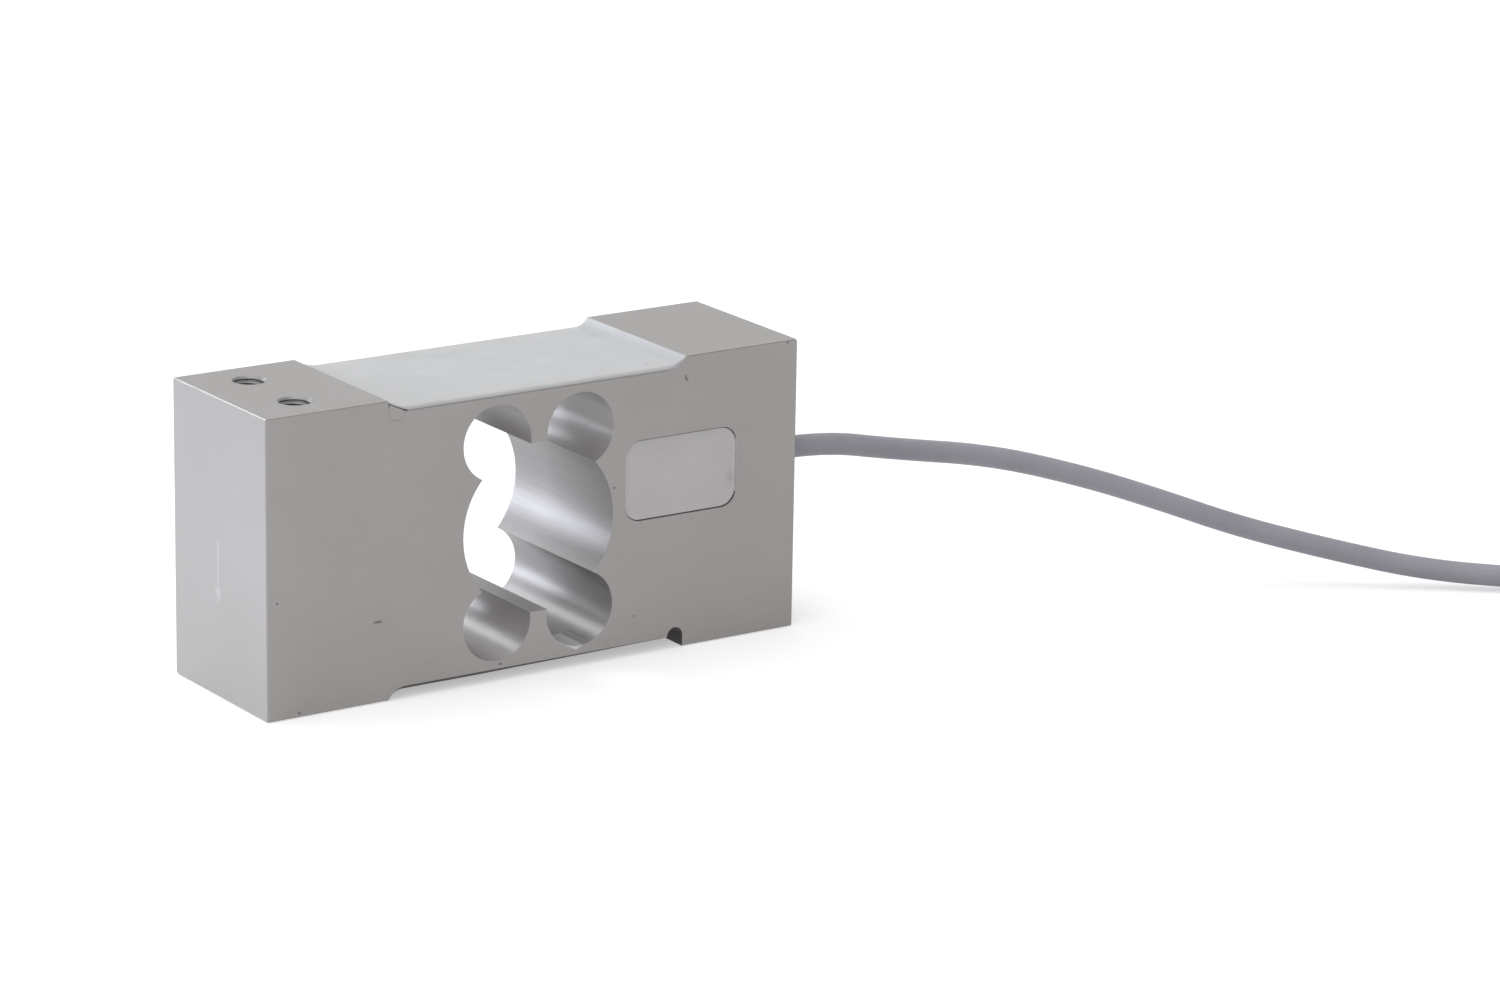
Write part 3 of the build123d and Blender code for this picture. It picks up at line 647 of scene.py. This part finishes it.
def top_ring(x):
    """One section of the top sealant, from its front foot over the top to its back foot."""
    low = floor_under(x)
    front_high, back_high = sealant_top(x, -half_width), sealant_top(x, half_width)
    thick = max(min(front_high, back_high) - low, 0.00002)
    lifted = ease((foot_lift_start - x) / foot_lift_span)
    gap = min(0.00045, 0.45 * thick) * lifted
    edge = min(0.00085, 0.85 * thick, thick - gap)
    foot_y = foot_inset * lifted - half_width
    ring = [(x, foot_y, low), (x, foot_y, low + gap)]
    ring += rounded_edge(x, edge, front_high, 1, 6)
    calm = min(1.0, max(0.0, (x - recess_start) / 0.004), max(0.0, (recess_end - x) / 0.006))
    for y in places_across(edge):
        sag = 0.00006 * (1 - (2 * y / (beam_width - 2 * edge)) ** 2)
        ring.append((x, y, sealant_top(x, y) - calm * (sag + wavy(x, y, 0.00004, 120, 1.7))))
    ring += mirrored(rounded_edge(x, edge, back_high, 1, 6))
    ring.append((x, half_width, low))
    return ring


top_rings = [top_ring(x) for x in stations(recess_start, recess_end - 0.00005, 0.0003, 0.0012, 0.009)]
piece(
    "gauge_cover_top",
    skin_mesh("gauge_cover_top", top_rings),
    white_silicone,
    ["top_sealant"],
)


def roof_over(x):
    """The surface the bottom sealant hangs from."""
    return recess_depth - arc_rise(-run_out_start - x, run_out_radius)


def sealant_under(x):
    """The bottom sealant's lowest level: thick at the load end, thin towards the slot."""
    level = under_level + 0.00035 * ease((x + 0.018) / 0.030) + 0.00065 * ease((x - 0.004) / 0.034)
    return max(level - arc_rise(under_meniscus - x, under_meniscus_radius), 0.0001)


def under_ring(x):
    """One section of the bottom sealant, thin along both edges, full inside, with a mound by the slot."""
    high = roof_over(x)
    full = max(high - sealant_under(x), 0.00003)
    thick = 0.55 * full
    low = high - thick
    edge = min(0.0005, 0.8 * thick)
    front_edge = rounded_edge(x, edge, low, -1, 5)
    ring = [(x, -half_width, high)] + front_edge
    belly = full - thick + 0.0003 * ease((x + 0.040) / 0.004) * ease((0.0355 - x) / 0.003)
    mound = ease((x - 0.0170) / 0.0030) * ease((0.0340 - x) / 0.0030)
    for y in places_across(edge):
        inward = ease((y + half_width - 0.0006) / 0.002) * ease((half_width - 0.0006 - y) / 0.002)
        swell = mound * ease((y + 0.0190) / 0.0030) * ease((0.0085 - y) / 0.0030)
        deeper = max(belly * inward, swell * max(0.0, 0.00125 - thick))
        ring.append((x, y, low - deeper + wavy(x, y, 0.00003, 120, 4.1)))
    ring += mirrored(front_edge)
    ring.append((x, half_width, high))
    return ring


under_rings = [under_ring(x) for x in stations(-recess_end + 0.00005, 0.0363, 0.0004, 0.0012, 0.008)]
piece(
    "gauge_cover_bottom",
    skin_mesh("gauge_cover_bottom", under_rings),
    shaded_under_silicone,
    ["bottom_sealant"],
)

# skin of the compound in the pocket: insets from the outline and depths under the front face
skin_steps = [
    (0.0002, 0.00062), (0.00003, 0.00060), (0.00003, 0.00047), (0.00016, 0.00047), (0.00022, 0.00036),
    (0.0004, 0.00035), (0.0006, 0.00038), (0.0009, 0.00043), (0.0013, 0.00047), (0.0018, 0.00049),
    (0.0030, 0.00049), (0.0045, 0.00048), (0.0060, 0.00047), (0.0075, 0.00047), (0.0090, 0.00047),
]
shaded_rows = 4
shade_end = pocket_x + 0.0156


def pocket_ring(inset, depth):
    """A loop of the compound's skin, that deep under the front face."""
    corner = max(pocket_corner - inset, 0.0004)
    ring = []
    for x, z in rounded_loop(pocket_length / 2 - inset, pocket_height / 2 - inset, corner, 10):
        uneven = wavy(x, z, 0.00008, 150, 8.3) * min(1.0, inset / 0.002)
        ring.append((pocket_x + x, depth + uneven - half_width, pocket_z + z))
    return ring


skin_rings = [pocket_ring(inset, depth) for inset, depth in skin_steps]
pocket_skin = piece("pocket_skin", skin_mesh("pocket_skin", skin_rings), potting)
# the outer rings, but for the right side, carry the painted shade round the pocket's edge
pocket_skin.data.materials.append(pocket_edge_shade)
for face in pocket_skin.data.polygons:
    if face.index < shaded_rows * len(skin_rings[0]) and face.center.x < shade_end:
        face.material_index = 1

# threads in the tapped holes
thread_pitch = 0.00125
thread_major, thread_minor = 0.0040, 0.00332
thread_depth = 0.0215
thread_clearance = 0.00002
mouth_radius = 0.00435
thread_points, thread_steps = 56, 130


def thread_radius(turn, depth):
    """Radius of the thread's surface, a flat-topped wave, held back by the mouth's chamfer."""
    phase = (depth / thread_pitch - turn / (2 * pi)) % 1.0
    wave = abs(2 * phase - 1)
    share = min(max((wave - 0.16) / 0.66, 0.0), 1.0)
    radius = thread_minor + (thread_major - thread_clearance - thread_minor) * share
    return max(radius, mouth_radius - thread_clearance - depth)


def thread_mesh(name, x, y, mouth_z, way):
    """A closed ring with thread ridges inside; way is -1 for a hole that goes down."""
    mesh = bmesh.new()
    inner, outer = [], []
    for step in range(thread_steps + 1):
        depth = thread_depth * step / thread_steps
        wall = max(thread_major, mouth_radius - depth) + 0.00004
        z = mouth_z + way * (depth + 0.00001)
        inner.append([])
        outer.append([])
        for k in range(thread_points):
            turn = 2 * pi * k / thread_points
            for rows, radius in ((inner, thread_radius(turn, depth)), (outer, wall)):
                rows[-1].append(mesh.verts.new((x + radius * cos(turn), y + way * radius * sin(turn), z)))
    for rings in (inner, outer, [inner[0], outer[0]], [inner[-1], outer[-1]]):
        join_rings(mesh, rings)
    return finished(name, mesh)


for end, end_x, mouth_z, way in (("load", -hole_x, beam_height, -1), ("fixing", hole_x, 0.0, 1)):
    for side, side_y in (("front", -hole_y), ("back", hole_y)):
        name = f"thread_{end}_{side}"
        piece(name, thread_mesh(name, end_x, side_y, mouth_z, way), thread_metal)

# ties of the coil
tie_angles = (30.0, 100.0)
tie_gap, tie_thickness, tie_width, tie_corner = 0.00012, 0.0004, 0.0036, 0.0026
tie_section = [(-0.5, 0.0), (-0.5, 0.5), (-0.18, 0.5), (-0.1, 0.95)]
tie_section += [(-across, lift) for across, lift in reversed(tie_section)]
twist_lift, twist_length, twist_radius = 0.0012, 0.0098, 0.00048
twist_steps, twist_points, twist_half_turns = 60, 10, 5
strand_half_width, strand_half_height = 0.00050, 0.00075


def twisted_end(top, outward, along, start_turn):
    """One of a tie's two ends, which turn round each other, as rings of points."""
    rings = []
    for step in range(twist_steps + 1):
        share = step / twist_steps
        turn = start_turn + twist_half_turns * pi * share
        tight = 0.45 + 0.55 * sin(pi * min(share * 3, 0.5))
        side = along * cos(turn) + up * sin(turn)
        other = up * cos(turn) - along * sin(turn)
        middle = top + outward * ((share - 0.5) * twist_length) + side * (twist_radius * tight)
        ring = []
        for k in range(twist_points):
            spin = 2 * pi * k / twist_points
            around = side * (strand_half_width * cos(spin)) + other * (strand_half_height * sin(spin))
            ring.append(middle + around)
        rings.append(ring)
    return rings


def tie_mesh(name, angle):
    """A flat coated tie: a band with a raised wire, and two ends twisted together on top."""
    centre = Vector(coil_point(angle, coil_mean_radius, coil_base + coil_height / 2))
    heading = radians(coil_entry_angle + angle)
    outward = Vector((cos(heading), sin(heading), 0))
    along = Vector((-sin(heading), cos(heading), 0))
    mesh = bmesh.new()
    rows = []
    for across, lift in tie_section:
        grow = tie_gap + lift * tie_thickness
        loop = rounded_loop(coil_width / 2 + grow, coil_height / 2 + grow, tie_corner + grow, 8)
        offset = centre + along * (across * tie_width)
        rows.append([mesh.verts.new(offset + outward * out + up * rise) for out, rise in loop])
    join_rings(mesh, rows + rows[:1])
    top = centre + up * (coil_height / 2 + twist_lift)
    for start_turn in (0.0, pi):
        add_skin(mesh, twisted_end(top, outward, along, start_turn))
    return finished(name, mesh)


for number, angle in enumerate(tie_angles, start=1):
    name = f"coil_tie_{number}"
    piece(name, tie_mesh(name, angle), palette["coil_ties"], ["coil_ties"])

# shrunk sleeve at the cable's free end
tail_radius = coil_outer_turn - coil_pitch / 2
tail_stop = Vector(coil_point(tail_end, tail_radius - tail_drift, tail_z))
tail_before = Vector(coil_point(tail_end - 17.5, tail_radius - tail_drift * 0.75, tail_z))
tail_heading = (tail_stop - tail_before).normalized()
sleeve_side = tail_heading.cross(up).normalized()
sleeve_points = 32
sleeve_profile = [(-0.004, 0.00284), (-0.0038, 0.00294), (-0.003, 0.00297), (-0.001, 0.00298)]
sleeve_profile += [(0.002, 0.00297), (0.005, 0.00294), (0.008, 0.00296), (0.0105, 0.0029)]
sleeve_profile += [(0.0115, 0.00275), (0.012, 0.0023), (0.012, 0.0018)]


def sleeve_ring(along, radius):
    """A ring of the sleeve, pressed a little flat towards its open end."""
    ring = []
    for k in range(sleeve_points):
        spin = 2 * pi * k / sleeve_points
        flat = 1.0 - 0.12 * ease((along - 0.004) / 0.008) * abs(sin(spin))
        around = sleeve_side * (radius * cos(spin)) + up * (radius * flat * sin(spin))
        ring.append(tail_stop + tail_heading * along + around)
    return ring


sleeve = piece(
    "shrunk_sleeve",
    skin_mesh("shrunk_sleeve", [sleeve_ring(along, radius) for along, radius in sleeve_profile]),
    palette["end_sleeve"],
    ["end_sleeve"],
)


# stage and light
def floor_material():
    """Pale floor that keeps the shadow, and shows as white to the camera and in reflections."""
    n = Nodes("floor")
    n.done(rgb(224, 224, 224), 0.9, Specular_IOR_Level=0.1)
    path = n.add("ShaderNodeLightPath")
    seen = n.math("MAXIMUM", path.outputs["Is Camera Ray"], path.outputs["Is Glossy Ray"])
    seen = n.math("MAXIMUM", seen, path.outputs["Is Transmission Ray"])
    glow = n.add("ShaderNodeEmission")
    glow.inputs["Color"].default_value = (1, 1, 1, 1)
    away = n.add("ShaderNodeVectorMath", operation="LENGTH")
    n.link(n.place, away.inputs[0])
    far = n.ramp(away.outputs["Value"], 0.0, 0.6, 0.6, 1.8)
    far = n.math("MULTIPLY", far, path.outputs["Is Camera Ray"])
    n.link(n.math("ADD", n.math("MULTIPLY", seen, 0.42), far), glow.inputs["Strength"])
    both = n.add("ShaderNodeAddShader")
    n.link(n.shader.outputs[0], both.inputs[0])
    n.link(glow.outputs[0], both.inputs[1])
    n.link(both.outputs[0], n.tree.nodes["Material Output"].inputs["Surface"])
    return n.material


floor_half, floor_z = 6.0, -0.0002
floor_mesh = bpy.data.meshes.new("floor")
floor_corners = [(x * floor_half, y * floor_half, floor_z) for x, y in ((-1, -1), (1, -1), (1, 1), (-1, 1))]
floor_mesh.from_pydata(floor_corners, [], [(0, 1, 2, 3)])
floor_mesh.materials.append(floor_material())
floor = bpy.data.objects.new("floor", floor_mesh)
scene.collection.objects.link(floor)

world = bpy.data.worlds.new("world")
world.use_nodes = True
scene.world = world
tree = world.node_tree
background = tree.nodes["Background"]
background.inputs["Color"].default_value = (1, 1, 1, 1)
path = tree.nodes.new("ShaderNodeLightPath")
seen = path.outputs["Is Camera Ray"]
for ray in ("Is Transmission Ray", "Is Glossy Ray"):
    either = tree.nodes.new("ShaderNodeMath")
    either.operation = "MAXIMUM"
    tree.links.new(seen, either.inputs[0])
    tree.links.new(path.outputs[ray], either.inputs[1])
    seen = either.outputs[0]
strength = tree.nodes.new("ShaderNodeMapRange")
strength.inputs["To Min"].default_value = 0.38
strength.inputs["To Max"].default_value = 1.0
tree.links.new(seen, strength.inputs["Value"])
tree.links.new(strength.outputs["Result"], background.inputs["Strength"])


def lamp(name, place, target, size, power, colour=(1, 1, 1)):
    """A soft area lamp aimed at a point."""
    data = bpy.data.lights.new(name, "AREA")
    data.color = colour
    data.shape = "RECTANGLE"
    data.size, data.size_y = size
    data.energy = power
    made = bpy.data.objects.new(name, data)
    scene.collection.objects.link(made)
    made.location = place
    made.rotation_euler = (Vector(target) - Vector(place)).to_track_quat("-Z", "Y").to_euler()


lamp("key_lamp", (-1.5, -0.35, 0.9), (0, 0, 0.04), (1.2, 1.2), 4.5)
lamp("left_lamp", (-1.3, 1.0, 0.16), (0, 0, 0.02), (1.1, 0.5), 22.5, (0.82, 0.88, 1.0))
lamp("top_lamp", (-0.1, 0.2, 1.7), (0, 0, 0.04), (1.6, 1.6), 14.0, (0.96, 0.98, 1.0))
lamp("front_lamp", (-0.9, -1.2, 0.9), (-0.06, 0, 0.05), (0.9, 0.9), 5.6)
lamp("back_lamp", (-0.35, 1.2, 0.85), (0, 0, 0.04), (0.35, 0.5), 4.0, (0.90, 0.94, 1.0))

# the cable as a cord
cable_curve.materials.append(jacket)
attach(cable, "root")
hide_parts("cable_run", "cable_coil")
